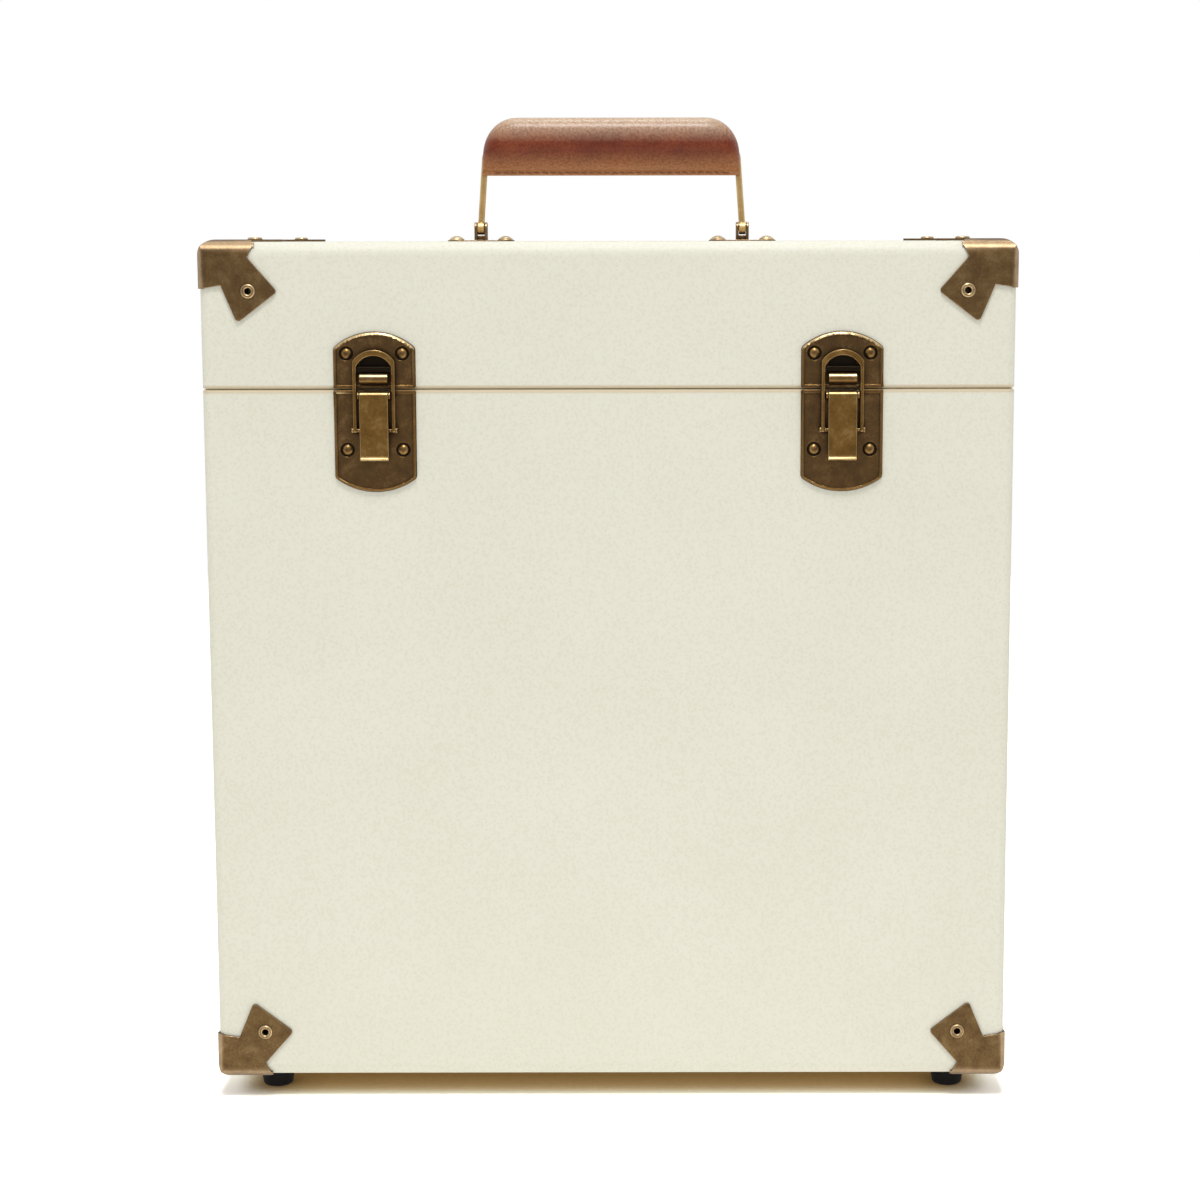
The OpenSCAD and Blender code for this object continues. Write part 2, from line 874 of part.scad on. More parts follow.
// Every shank that enters the lid's covering and boards.
module lid_holes() {
    deep = cover_t + grip_depth;
    at_latch_rivets(catch_rivet_z)
        shank_hole(shank_r, deep, over);
    at_hinge_rivets(1)
        shank_hole(shank_r, deep, over);
    at_bracket_rivets()
        shank_hole(shank_r, deep, over);
    both(handle_x)
        translate([0, 0, lid_top_z - bracket_sink])
            linear_extrude(bracket_sink + over)
                bracket_outline();
    in_lid()
        at_corners() {
            corner_shanks(eyelet_barrel_r);
            flat_shank(tab_eye, eyelet_barrel_r);
        }
}

// ---- Base ----

module base_panel(side) {
    color(BOARD)
        difference() {
            in_base()
                tray_board(base_tray_h, side);
            base_holes();
        }
}
module base_covering() {
    color(LEATHERETTE)
        difference() {
            in_base()
                tray_covering(base_tray_h);
            base_holes();
        }
}
module base_lining() {
    color(LINING)
        in_base()
            tray_lining(base_tray_h);
}
module corner_bottom(right, back) {
    in_base()
        at_corner(right, back)
            corner_piece(foot_in, screw_r);
}
module base_corner_eyelets() {
    color(BRASS)
        in_base()
            at_corners()
                at_tab_eyes()
                    eyelet();
}
// Moulded foot, a little narrower at the floor, with a recess for its screw.
module foot(right, back) {
    color(RUBBER)
        at_corner(right, back)
            translate([foot_in, foot_in, 0])
                rotate_extrude()
                    difference() {
                        union() {
                            polygon([
                                [0, 0], [foot_low_r - foot_edge_r, 0], [foot_low_r, foot_edge_r],
                                [foot_r, foot_h], [0, foot_h]
                            ]);
                            translate([foot_low_r - foot_edge_r, foot_edge_r])
                                circle(foot_edge_r);
                        }
                        square([recess_r, recess_h]);
                        square([screw_r + hole_gap, foot_h + over]);
                        translate([-2 * foot_r, -over])
                            square([2 * foot_r, foot_h + 2 * over]);
                    }
}
module foot_screws() {
    color(STEEL)
        at_corners()
            translate([foot_in, foot_in, recess_h])
                rotate_extrude() {
                    translate([0, -screw_head_h])
                        square([screw_head_r, screw_head_h]);
                    square([screw_r, case_z - recess_h + cover_t + grip_depth]);
                }
}
module latch_plate_rivets() {
    color(BRASS)
        at_latch_rivets(-latch_rivet_z)
            translate([0, 0, dimple_floor])
                rivet(rivet_r, rivet_h, dimple_floor + cover_t + grip_depth);
}
module base_hinge_rivets() {
    color(BRASS)
        at_hinge_rivets(-1)
            translate([0, 0, leaf_t])
                rivet(rivet_r, rivet_h, leaf_t + cover_t + grip_depth);
}
module hinge_pin() {
    color(BRASS)
        cross_pin(0, 0, hinge_pin_r, hinge_w / 2);
}

// ---- Lid ----

module lid_panel(side) {
    color(BOARD)
        difference() {
            in_lid()
                tray_board(lid_tray_h, side);
            lid_holes();
        }
}
module lid_covering() {
    color(LEATHERETTE)
        difference() {
            in_lid()
                tray_covering(lid_tray_h);
            lid_holes();
        }
}
module lid_lining() {
    color(LINING)
        in_lid()
            tray_lining(lid_tray_h);
}
module corner_top(right, back) {
    in_lid()
        at_corner(right, back)
            corner_piece(tab_eye, eyelet_barrel_r);
}
module lid_corner_eyelets() {
    color(BRASS)
        in_lid()
            at_corners() {
                at_tab_eyes()
                    eyelet();
                at_flat_eye(tab_eye)
                    eyelet();
            }
}
module catch_plate_rivets() {
    color(BRASS)
        at_latch_rivets(catch_rivet_z)
            translate([0, 0, dimple_floor])
                rivet(rivet_r, rivet_h, dimple_floor + cover_t + grip_depth);
}
module lid_hinge_rivets() {
    color(BRASS)
        at_hinge_rivets(1)
            translate([0, 0, leaf_t])
                rivet(rivet_r, rivet_h, leaf_t + cover_t + grip_depth);
}

// ---- Handle ----

// Outline of a bracket's base, with round ends.
module bracket_outline() {
    end = bracket_w / 2 - 0.1;
    translate([0, -bracket_w / 2])
        soft_rect(bracket_l, bracket_w, end, end);
}
// Riveted base with two lugs that hold the pin through the bail's eye.
module handle_bracket(side) {
    color(BRASS)
        translate([side * handle_x, 0, lid_top_z])
            difference() {
                union() {
                    translate([0, 0, -bracket_sink])
                        linear_extrude(bracket_t)
                            bracket_outline();
                    for (x = [-lug_in - lug_t, lug_in])
                        translate([x, 0, 0])
                            rotate([90, 0, 90])
                                linear_extrude(lug_t) {
                                    translate([-lug_r, 0])
                                        square([2 * lug_r, pivot_h]);
                                    translate([0, pivot_h])
                                        circle(lug_r);
                                }
                    translate([-lug_in - lug_t / 2, -saddle_half, 0])
                        cube([2 * lug_in + lug_t, 2 * saddle_half, pivot_h - eye_r - saddle_gap]);
                }
                cross_pin(0, pivot_h, handle_pin_r + 0.02, lug_in + lug_t + over);
                both(bracket_rivet_x)
                    shank_hole(shank_r, over, bracket_t + over);
            }
}
module handle_bracket_rivets() {
    color(BRASS)
        at_bracket_rivets()
            translate([0, 0, bracket_top])
                rivet(dome_r, dome_h, bracket_top + cover_t + grip_depth);
}
module handle_pins() {
    color(BRASS)
        both(handle_x)
            cross_pin(0, pivot_z, handle_pin_r, lug_in + lug_t);
}

// One leg of the bail and the bend above it. The bend is a hair thicker than the straight
// lengths, so that their ends lie inside it.
module bail_side(r) {
    translate([handle_x, 0, pivot_z])
        rotate([0, -leg_lean, 0])
            translate([0, 0, leg_start])
                cylinder(r = r, h = leg_s - leg_start + bend_lap);
    translate([bend_x, 0, lid_top_z + run_h - bend_r])
        rotate([90, 0, 0])
            rotate([0, 0, leg_lean])
                rotate_extrude(angle = 90 - leg_lean)
                    translate([bend_r, 0])
                        circle(r + bend_swell);
}
// Whole bail: two legs, two bends and the level run between them.
module bail(r) {
    bail_side(r);
    mirror([1, 0, 0])
        bail_side(r);
    cross_pin(0, lid_top_z + run_h, r, bend_x + bend_lap);
}
module handle_wire() {
    color(BRASS)
        difference() {
            union() {
                bail(wire_r);
                both(handle_x)
                    cross_pin(0, pivot_z, eye_r, eye_t / 2);
            }
            both(handle_x)
                cross_pin(0, pivot_z, handle_pin_r + pin_gap, eye_t / 2 + over);
        }
}
// Leather grip sewn round the bail's level run.
module handle_grip() {
    color(LEATHER)
        difference() {
            translate([0, 0, lid_top_z + grip_z])
                soft_block(
                    grip_l, grip_d, grip_h,
                    [grip_low_r, grip_end_r], [grip_low_r, grip_top_r], grip_top_r - 2
                );
            bail(wire_r + hole_gap);
        }
}

base_panel("front");  // base_front_panel
base_panel("back");  // base_back_panel
base_panel("left");  // base_left_panel
base_panel("right");  // base_right_panel
base_panel("bottom");  // base_bottom_panel
base_covering();
base_lining();
corner_bottom(0, 0);  // corner_bottom_front_left
corner_bottom(1, 0);  // corner_bottom_front_right
corner_bottom(0, 1);  // corner_bottom_back_left
corner_bottom(1, 1);  // corner_bottom_back_right
base_corner_eyelets();
foot(0, 0);  // foot_front_left
foot(1, 0);  // foot_front_right
foot(0, 1);  // foot_back_left
foot(1, 1);  // foot_back_right
foot_screws();
at_latch(-1) latch_plate();  // latch_plate_left
at_latch(1) latch_plate();  // latch_plate_right
latch_plate_rivets();
at_latch(-1) lever_pin();  // lever_pin_left
at_latch(1) lever_pin();  // lever_pin_right
at_hinge(-1) hinge_leaf(0);  // hinge_leaf_base_left
at_hinge(1) hinge_leaf(0);  // hinge_leaf_base_right
base_hinge_rivets();
at_hinge(-1) hinge_pin();  // hinge_pin_left
at_hinge(1) hinge_pin();  // hinge_pin_right
at_latch(-1) latch_lever();  // latch_lever_left
at_latch(1) latch_lever();  // latch_lever_right
at_latch(-1) loop_pin();  // loop_pin_left
at_latch(1) loop_pin();  // loop_pin_right
at_latch(-1) latch_loop();  // latch_loop_left
at_latch(1) latch_loop();  // latch_loop_right
lid_panel("bottom");  // lid_top_panel
lid_panel("front");  // lid_front_panel
lid_panel("back");  // lid_back_panel
lid_panel("left");  // lid_left_panel
lid_panel("right");  // lid_right_panel
lid_covering();
lid_lining();
corner_top(0, 0);  // corner_top_front_left
corner_top(1, 0);  // corner_top_front_right
corner_top(0, 1);  // corner_top_back_left
corner_top(1, 1);  // corner_top_back_right
lid_corner_eyelets();
at_latch(-1) catch_plate();  // catch_plate_left
at_latch(1) catch_plate();  // catch_plate_right
catch_plate_rivets();
at_hinge(-1) mirror([0, 0, 1]) hinge_leaf(1);  // hinge_leaf_lid_left
at_hinge(1) mirror([0, 0, 1]) hinge_leaf(1);  // hinge_leaf_lid_right
lid_hinge_rivets();
handle_bracket(-1);  // handle_bracket_left
handle_bracket(1);  // handle_bracket_right
handle_bracket_rivets();
handle_pins();
handle_wire();
handle_grip();
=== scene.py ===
import json
import math

import bmesh
import bpy
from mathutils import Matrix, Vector

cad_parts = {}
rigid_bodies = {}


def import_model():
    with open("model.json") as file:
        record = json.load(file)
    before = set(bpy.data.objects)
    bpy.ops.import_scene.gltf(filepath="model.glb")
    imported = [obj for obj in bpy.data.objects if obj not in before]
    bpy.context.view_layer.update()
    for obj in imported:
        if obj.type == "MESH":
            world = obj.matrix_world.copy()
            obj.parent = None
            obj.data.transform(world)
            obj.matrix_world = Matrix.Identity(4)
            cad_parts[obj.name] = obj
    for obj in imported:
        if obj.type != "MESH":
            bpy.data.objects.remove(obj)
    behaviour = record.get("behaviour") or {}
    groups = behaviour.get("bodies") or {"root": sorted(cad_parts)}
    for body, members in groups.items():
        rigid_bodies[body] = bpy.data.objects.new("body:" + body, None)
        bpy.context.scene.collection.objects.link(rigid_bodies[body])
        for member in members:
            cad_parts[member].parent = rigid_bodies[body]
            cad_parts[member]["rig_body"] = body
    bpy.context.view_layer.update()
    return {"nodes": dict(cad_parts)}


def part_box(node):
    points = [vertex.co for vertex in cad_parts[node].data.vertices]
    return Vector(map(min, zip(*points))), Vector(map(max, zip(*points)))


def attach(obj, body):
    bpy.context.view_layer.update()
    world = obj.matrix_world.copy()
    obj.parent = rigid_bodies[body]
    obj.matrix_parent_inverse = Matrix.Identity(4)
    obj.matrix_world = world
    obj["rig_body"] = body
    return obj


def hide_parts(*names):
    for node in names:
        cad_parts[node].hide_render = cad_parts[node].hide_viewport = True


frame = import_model()
nodes = frame["nodes"]


# ---- Board walls ----
# Ten panels of nine-millimetre plywood make two open boxes, glued edge to edge. The covering
# and the lining hide them, so they show only where a part is taken off.

MM = 0.001


def linear(hex_colour):
    """An sRGB colour such as "e3dfcd" as the linear RGBA that a shader works in."""
    parts = [int(hex_colour[i:i + 2], 16) / 255 for i in (0, 2, 4)]
    return [c / 12.92 if c <= 0.04045 else ((c + 0.055) / 1.055) ** 2.4 for c in parts] + [1.0]


def add(tree, kind, wires=None, **settings):
    """Adds one node. Wires gives each input, by name or number, a value or an output."""
    node = tree.nodes.new(kind)
    for name, value in settings.items():
        setattr(node, name, value)
    for socket, source in (wires or {}).items():
        if isinstance(source, bpy.types.NodeSocket):
            tree.links.new(source, node.inputs[socket])
        else:
            node.inputs[socket].default_value = source
    return node


def new_material(name):
    """An empty material with its shader, its node tree and the piece's own coordinates."""
    material = bpy.data.materials.new(name)
    material.use_nodes = True
    tree = material.node_tree
    shader = tree.nodes["Principled BSDF"]
    place = add(tree, "ShaderNodeTexCoord").outputs["Object"]
    return material, tree, shader, place


def per_mm(size):
    """Texture scale at which one cell of a pattern is that many millimetres across."""
    return 1 / (size * MM)


def ramp(tree, factor, stops, **settings):
    """Colour ramp through (position, sRGB hex) stops."""
    node = add(tree, "ShaderNodeValToRGB", {0: factor}, **settings)
    bar = node.color_ramp.elements
    while len(bar) < len(stops):
        bar.new(1.0)
    for element, (position, colour) in zip(bar, stops):
        element.position = position
        element.color = linear(colour)
    return node.outputs["Color"]


def dress(names, material):
    """Gives nodes that keep their own mesh their finish."""
    for name in names:
        piece = nodes[name]
        piece.data.materials.clear()
        piece.data.materials.append(material)


# Birch plywood, sanded: pale even wood with long faint figure, and no varnish.
plywood, tree, shader, place = new_material("birch_plywood")
stretched = add(tree, "ShaderNodeMapping", {0: place, "Scale": (1, 1, 0.08)}).outputs[0]
figure = add(tree, "ShaderNodeTexNoise", {"Vector": stretched, "Scale": per_mm(9), "Detail": 5.0})
tree.links.new(ramp(tree, figure.outputs[0], [(0.3, "b98f5e"), (0.7, "d2ad7c")]),
               shader.inputs["Base Color"])
shader.inputs["Roughness"].default_value = 0.7
dress([n for n in nodes if n.endswith("_panel")], plywood)


# ---- Covering ----
# Cream vinyl leathercloth, one sheet round each box, glued down, folded over the rim and turned
# a little way in. Its embossed grain is fine, and the sheet lies soft over the rounded edges.

# Embossed vinyl leathercloth: a low even sheen broken up by a pebbled grain. The pebbles of a
# real cloth are half as wide, and are drawn this coarse so that they show.
GRAIN_MM = 1.3
GRAIN_DRIFT = 0.6 * MM
vinyl, tree, shader, place = new_material("cream_vinyl_leathercloth")
warped = add(tree, "ShaderNodeTexNoise", {"Vector": place, "Scale": per_mm(4), "Detail": 2.0})
bent = add(tree, "ShaderNodeMixRGB", {0: GRAIN_DRIFT, 1: place, 2: warped.outputs[1]},
           blend_type="ADD").outputs[0]
pebbles = add(tree, "ShaderNodeTexVoronoi", {"Vector": bent, "Scale": per_mm(GRAIN_MM)},
              feature="SMOOTH_F1")
pores = add(tree, "ShaderNodeTexNoise", {"Vector": place, "Scale": per_mm(0.45), "Detail": 3.0})
relief = add(tree, "ShaderNodeMath", {0: pebbles.outputs["Distance"], 1: pores.outputs[0]},
             operation="ADD").outputs[0]
handling = add(tree, "ShaderNodeTexNoise",
               {"Vector": place, "Scale": per_mm(70), "Detail": 4.0, "Roughness": 0.6})
body_tone = ramp(tree, handling.outputs[0], [(0.3, "dcdaca"), (0.7, "dfddce")])
grain_tone = ramp(tree, relief, [(0.2, "f0eee6"), (1.1, "ffffff")])
grained = add(tree, "ShaderNodeMixRGB", {0: 1.0, 1: body_tone, 2: grain_tone},
              blend_type="MULTIPLY").outputs[0]
# Painted shade: both outer edges are painted a darker brown along the seam where lid and base
# meet, from the outside as far in as the rim is rounded.
SIDE_X, WALL_Y, SEAM_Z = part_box("base_covering")[1]
SEAM_SHADE_FULL, SEAM_SHADE_END = 0.8 * MM, 2.3 * MM
RIM_OUTER, RIM_INNER = 0.6 * MM, 1.8 * MM
from_seam = add(tree, "ShaderNodeVectorMath", {0: place, 1: (0, 0, SEAM_Z)}, operation="SUBTRACT")
from_seam = add(tree, "ShaderNodeVectorMath", {0: from_seam.outputs[0]}, operation="ABSOLUTE")
from_seam = add(tree, "ShaderNodeSeparateXYZ", {0: from_seam.outputs[0]}).outputs
seam_shade = add(tree, "ShaderNodeMapRange",
           {0: from_seam["Z"], 1: SEAM_SHADE_FULL, 2: SEAM_SHADE_END, 3: 1.0, 4: 0.0},
           interpolation_type="SMOOTHSTEP").outputs[0]
at_side = add(tree, "ShaderNodeMapRange",
              {0: from_seam["X"], 1: SIDE_X - RIM_INNER, 2: SIDE_X - RIM_OUTER}).outputs[0]
at_wall = add(tree, "ShaderNodeMapRange",
              {0: from_seam["Y"], 1: WALL_Y - RIM_INNER, 2: WALL_Y - RIM_OUTER}).outputs[0]
outside = add(tree, "ShaderNodeMath", {0: at_side, 1: at_wall}, operation="MAXIMUM").outputs[0]
seam_shade = add(tree, "ShaderNodeMath", {0: seam_shade, 1: outside}, operation="MULTIPLY").outputs[0]
# The seam's painted shade is this darker brown.
seam_shaded = add(tree, "ShaderNodeMixRGB", {0: seam_shade, 1: grained, 2: linear("cabb9d")}).outputs[0]
tree.links.new(seam_shaded, shader.inputs["Base Color"])
shader.inputs["Roughness"].default_value = 0.52
shader.inputs["IOR"].default_value = 1.5
emboss = add(tree, "ShaderNodeBump", {"Height": relief, "Strength": 0.22, "Distance": 0.12 * MM})
tree.links.new(emboss.outputs[0], shader.inputs["Normal"])
dress(["base_covering", "lid_covering"], vinyl)


# ---- Lining ----
# Charcoal flocked paper on the floor and walls of both boxes, cut to meet the turned-in covering.

# Flock: very short matt fibres that take no highlight and scatter a little light at an angle.
flock, tree, shader, place = new_material("charcoal_flock")
fibres = add(tree, "ShaderNodeTexNoise", {"Vector": place, "Scale": per_mm(0.6), "Detail": 4.0})
tree.links.new(ramp(tree, fibres.outputs[0], [(0.3, "25221f"), (0.7, "3a3632")]),
               shader.inputs["Base Color"])
shader.inputs["Roughness"].default_value = 0.95
shader.inputs["Sheen Weight"].default_value = 0.25
nap = add(tree, "ShaderNodeBump",
          {"Height": fibres.outputs[0], "Strength": 0.4, "Distance": 0.2 * MM})
tree.links.new(nap.outputs[0], shader.inputs["Normal"])
dress(["base_lining", "lid_lining"], flock)


# ---- Stamped corner pieces and their eyelets ----
# Thin brass sheet pressed over each corner in one stroke, three faces with a flared tab on each,
# fixed by tubular eyelets. It is dipped dark and then buffed, so edges and high spots are gold.

# How far the face of a latch plate stands out from the covering.
PLATE_T = 1.6 * MM
NEAR_SEAM = 1.5 * MM
SHARP = math.radians(40)


def on_outline(edge):
    """Whether an edge runs round a latch plate's face, at the top of its side, off the seam."""
    if any(abs(abs(v.co.y) - WALL_Y - PLATE_T) > 0.05 * MM for v in edge.verts):
        return False
    if all(abs(v.co.z - SEAM_Z) < NEAR_SEAM for v in edge.verts):
        return False
    if not edge.is_manifold or edge.calc_face_angle(0.0) < SHARP:
        return False
    depths = [abs(v.co.y) for f in edge.link_faces if abs(f.normal.y) < 0.3 for v in f.verts]
    return bool(depths) and max(depths) - min(depths) > 0.75 * PLATE_T


def softened(name, radius, rim=0.0):
    """A stamped node again, with its edges rounded as the press and the buffing wheel leave them.

    Rim rounds the outline of a latch plate more fully than its other edges.
    """
    raw = nodes[name]
    mesh = raw.data.copy()
    build = bmesh.new()
    build.from_mesh(mesh)
    bmesh.ops.remove_doubles(build, verts=build.verts, dist=0.002 * MM)
    if rim:
        bmesh.ops.bevel(build, geom=[e for e in build.edges if on_outline(e)], offset=rim,
                        offset_type="OFFSET", segments=5, profile=0.5, affect="EDGES")
    else:
        bmesh.ops.dissolve_limit(build, angle_limit=math.radians(0.6), verts=build.verts,
                                 edges=build.edges)
    for face in build.faces:
        face.smooth = True
    build.to_mesh(mesh)
    build.free()
    if "custom_normal" in mesh.attributes:
        mesh.attributes.remove(mesh.attributes["custom_normal"])
    piece = bpy.data.objects.new(name + "_pressed", mesh)
    bpy.context.scene.collection.objects.link(piece)
    edges = piece.modifiers.new("rounded_edges", "BEVEL")
    edges.width = radius
    edges.segments = 3
    edges.limit_method = "ANGLE"
    edges.angle_limit = SHARP
    edges.miter_outer = "MITER_ARC"
    piece.modifiers.new("flat_faces_stay_flat", "WEIGHTED_NORMAL")
    view = bpy.context.evaluated_depsgraph_get()
    piece.data = bpy.data.meshes.new_from_object(piece.evaluated_get(view))
    piece.modifiers.clear()
    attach(piece, raw["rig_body"])
    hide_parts(name)
    return piece


def press(names, radius, material, rim=0.0):
    """Puts softened pieces of one finish in place of stamped nodes."""
    for name in names:
        piece = softened(name, radius, rim)
        piece.data.materials.clear()
        piece.data.materials.append(material)


def antique_brass(name, dark, mid, gold, wear=1.0, grit_mm=0.9, shade_heights=None, shaded_edge_tone=None):
    """Brass aged in a bath and buffed: dark in its hollows, gold along its edges and bends.

    Two heights over the front or back wall may be given: below the first the brass is painted
    nearly black as painted shade, which clears by the second. A tone may be given for worn edges
    that don't look up, painted on them as painted shade, while edges that look up keep gold as a
    painted highlight. The hollows are darkened by patina and by painted shade.
    """
    material, tree, shader, place = new_material(name)
    clouds = add(tree, "ShaderNodeTexNoise",
                 {"Vector": place, "Scale": per_mm(7), "Detail": 6.0, "Roughness": 0.65})
    grit = add(tree, "ShaderNodeTexNoise",
               {"Vector": place, "Scale": per_mm(grit_mm), "Detail": 3.0})
    mottle = add(tree, "ShaderNodeMath", {0: grit.outputs[0], 1: 0.35, 2: clouds.outputs[0]},
                 operation="MULTIPLY_ADD").outputs[0]
    base = ramp(tree, mottle, [(0.5, dark), (0.8, mid)])
    spots = add(tree, "ShaderNodeMapRange", {0: mottle, 1: 0.72, 2: 0.95, 3: 0.0, 4: 0.16})
    base = add(tree, "ShaderNodeMixRGB",
               {0: spots.outputs[0], 1: base, 2: linear(gold)}).outputs[0]
    # The rounded normal leaves the true one only along edges, which is where buffing reaches.
    rounded = add(tree, "ShaderNodeBevel", {"Radius": 0.7 * MM}, samples=6).outputs[0]
    true = add(tree, "ShaderNodeNewGeometry").outputs["True Normal"]
    facing = add(tree, "ShaderNodeVectorMath", {0: rounded, 1: true},
                 operation="DOT_PRODUCT").outputs["Value"]
    edge = add(tree, "ShaderNodeMapRange", {0: facing, 1: 0.985, 2: 0.8, 3: 0.0, 4: wear})
    # A bend's normal lies off all three axes of the piece, and the buffing wheel rides on bends.
    lean = add(tree, "ShaderNodeTexCoord").outputs["Normal"]
    parts = add(tree, "ShaderNodeSeparateXYZ",
                {0: add(tree, "ShaderNodeVectorMath", {0: lean}, operation="ABSOLUTE").outputs[0]})
    most = add(tree, "ShaderNodeMath", {0: parts.outputs[0], 1: parts.outputs[1]},
               operation="MAXIMUM").outputs[0]
    most = add(tree, "ShaderNodeMath", {0: most, 1: parts.outputs[2]},
               operation="MAXIMUM").outputs[0]
    bend = add(tree, "ShaderNodeMapRange", {0: most, 1: 0.99, 2: 0.86, 3: 0.0, 4: wear * 0.8})
    rub = add(tree, "ShaderNodeMath", {0: edge.outputs[0], 1: bend.outputs[0]},
              operation="MAXIMUM").outputs[0]
    patchy = add(tree, "ShaderNodeMapRange", {0: mottle, 1: 0.45, 2: 0.8, 3: 0.55, 4: 1.0})
    rub = add(tree, "ShaderNodeMath", {0: rub, 1: patchy.outputs[0]},
              operation="MULTIPLY").outputs[0]
    open_to = add(tree, "ShaderNodeAmbientOcclusion", {"Distance": 3 * MM}, samples=6)
    reach = add(tree, "ShaderNodeMapRange", {0: open_to.outputs["AO"], 1: 0.35, 2: 0.7})
    buffed = add(tree, "ShaderNodeMath", {0: rub, 1: reach.outputs[0]},
                 operation="MULTIPLY").outputs[0]
    metal = linear(gold)
    if shaded_edge_tone:
        # Painted highlight and shade: only the edges that look up are painted bright gold, and the
        # others are painted the darker tone, as light from above falls.
        upward = add(tree, "ShaderNodeSeparateXYZ", {0: lean}).outputs["Z"]
        lit_from_above = add(tree, "ShaderNodeMapRange", {0: upward, 1: 0.05, 2: 0.35}).outputs[0]
        metal = add(tree, "ShaderNodeMixRGB",
                    {0: lit_from_above, 1: linear(shaded_edge_tone), 2: linear(gold)}).outputs[0]
    worn = add(tree, "ShaderNodeMixRGB", {0: buffed, 1: base, 2: metal}).outputs[0]
    # Patina and painted shade: the colour is darkened where the piece is closed in within 3 mm.
    patina_and_shade = ramp(tree, open_to.outputs["AO"],
                  [(0.15, "2a2018"), (0.5, "9a8e80"), (0.85, "ffffff")])
    shaded = add(tree, "ShaderNodeMixRGB", {0: 1.0, 1: worn, 2: patina_and_shade},
                 blend_type="MULTIPLY").outputs[0]
    if shade_heights:
        # Painted shade: low on the plate, under the arches and round the rivets, the brass is
        # painted nearly black.
        depth = add(tree, "ShaderNodeSeparateXYZ", {0: place}).outputs["Y"]
        depth = add(tree, "ShaderNodeMath", {0: depth}, operation="ABSOLUTE").outputs[0]
        clear = add(tree, "ShaderNodeMapRange", {0: depth, 1: WALL_Y + shade_heights[0] * MM,
                                                 2: WALL_Y + shade_heights[1] * MM}).outputs[0]
        shaded = add(tree, "ShaderNodeMixRGB",
                     {0: clear, 1: linear("20180e"), 2: shaded}).outputs[0]
    tree.links.new(shaded, shader.inputs["Base Color"])
    shader.inputs["Metallic"].default_value = 0.9
    satin = add(tree, "ShaderNodeMapRange", {0: mottle, 1: 0.4, 2: 1.0, 3: 0.5, 4: 0.36})
    rough = add(tree, "ShaderNodeMapRange", {0: buffed, 3: satin.outputs[0], 4: 0.26})
    tree.links.new(rough.outputs[0], shader.inputs["Roughness"])
    dents = add(tree, "ShaderNodeBump",
                {"Height": mottle, "Strength": 0.25, "Distance": 0.2 * MM, "Normal": rounded})
    tree.links.new(dents.outputs[0], shader.inputs["Normal"])
    return material


CORNER_EDGE_R = 0.45 * MM
# Sheet brass: brown where the bath has kept, and a dull gold along its folds.
corner_brass = antique_brass("antiqued_sheet_brass", "5c452b", "7a613e", "b99e7c")
press([n for n in nodes if n.startswith("corner_")], CORNER_EDGE_R, corner_brass)
# Eyelets are rolled over after the bath, so their rims are the brightest of the brass.
eyelet_brass = antique_brass("antiqued_eyelet_brass", "76583a", "96764a", "ecd6ac", 0.85)
dress(["base_corner_eyelets", "lid_corner_eyelets"], eyelet_brass)


# ---- Feet ----
# Black moulded rubber feet, each held by a plated pan-head screw sunk in its recess.

# Moulded rubber: nearly black, matt, with a faint tooth from the mould.
foot_rubber, tree, shader, place = new_material("moulded_black_rubber")
tooth = add(tree, "ShaderNodeTexNoise", {"Vector": place, "Scale": per_mm(0.7), "Detail": 3.0})
tree.links.new(ramp(tree, tooth.outputs[0], [(0.3, "080706"), (0.7, "0f0d0b")]),
               shader.inputs["Base Color"])
shader.inputs["Roughness"].default_value = 0.75
shader.inputs["Specular IOR Level"].default_value = 0.3
skin = add(tree, "ShaderNodeBump",
           {"Height": tooth.outputs[0], "Strength": 0.3, "Distance": 0.1 * MM})
tree.links.new(skin.outputs[0], shader.inputs["Normal"])
dress([n for n in nodes if n.startswith("foot_") and n != "foot_screws"], foot_rubber)

# Zinc-plated steel: a bright grey metal with the fine turning marks of the head.
screw_steel, tree, shader, place = new_material("zinc_plated_steel")
marks = add(tree, "ShaderNodeTexNoise", {"Vector": place, "Scale": per_mm(0.5), "Detail": 2.0})
tree.links.new(ramp(tree, marks.outputs[0], [(0.3, "8c8a86"), (0.7, "a8a6a1")]),
               shader.inputs["Base Color"])
shader.inputs["Metallic"].default_value = 1.0
shader.inputs["Roughness"].default_value = 0.38
dress(["foot_screws"], screw_steel)


# ---- Latches ----
# Draw latches stamped from brass sheet: a plate on the base with two ears for the lever's pin, a
# plate on the lid with a rolled catch, and between them a lever that pulls a wire-thin loop down.

STAMPED_EDGE_R = 0.25 * MM
PLATE_RIM_R = 1.45 * MM
LOOP_EDGE_R = 0.35 * MM
# Four tones of one brass: the plates darkest, with a painted highlight on their upper rim and
# painted shade on their other edges and low down, then the rivets, the loops and the levers, which
# fingers keep clean.
plate_brass = antique_brass("antiqued_latch_plate", "584229", "705431", "e8cc9a",
                            shade_heights=(0.75, 1.2), shaded_edge_tone="8e6a38")
lever_brass = antique_brass("antiqued_latch_lever", "664921", "826231", "e0c28c", 0.9)
